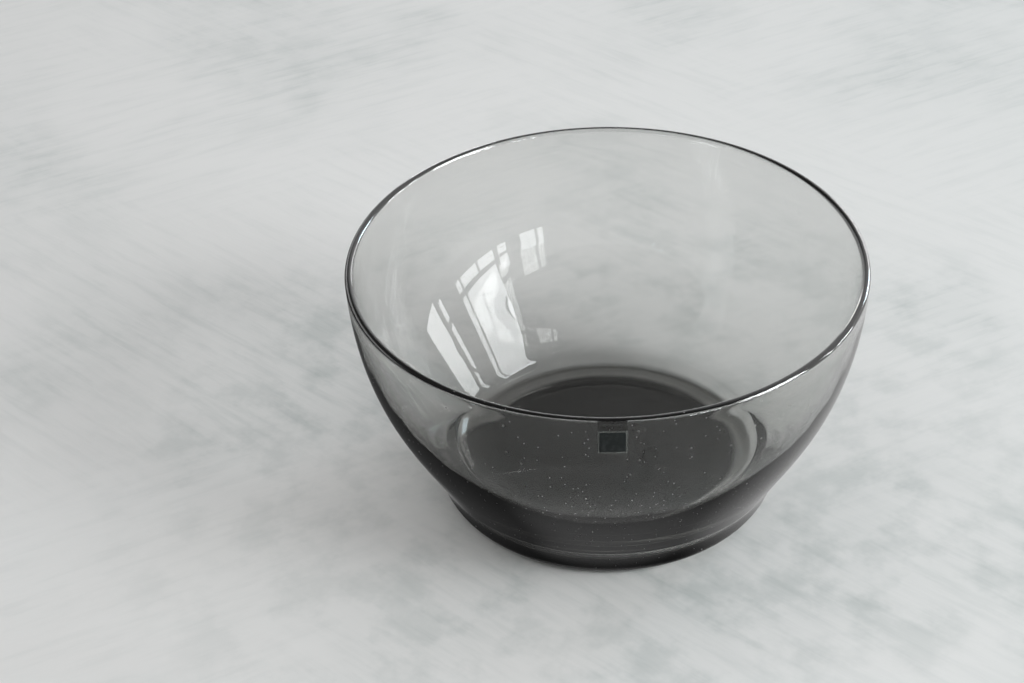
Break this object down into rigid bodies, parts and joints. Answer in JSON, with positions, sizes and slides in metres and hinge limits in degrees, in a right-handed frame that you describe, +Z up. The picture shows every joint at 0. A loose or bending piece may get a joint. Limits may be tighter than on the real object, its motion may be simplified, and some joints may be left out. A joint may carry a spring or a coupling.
{
  "type": "glass bowl",
  "caption": "Round smoke-glass bowl with a thin upright rim, a wall that narrows to a short heel, a thick solid base and a small plain film label.",
  "frame": {"origin": "centre of the foot, on the surface that the bowl stands on", "axes": "+Z up along the bowl's axis, with the label on the -Y side of the rim"},
  "size_m": [0.2, 0.2, 0.102],
  "materials": {
    "smoke_glass": "clear smoke-grey glass, fire-polished",
    "clear_adhesive": "clear pressure-sensitive coat",
    "clear_film": "clear plastic film, slightly glossy",
    "dark_ink": "matte dark printing ink"
  },
  "bodies": {
    "root": {"glass_bowl": "smoke_glass", "label_adhesive": "clear_adhesive", "label_film": "clear_film", "label_print": "dark_ink"}
  },
  "joints": []
}
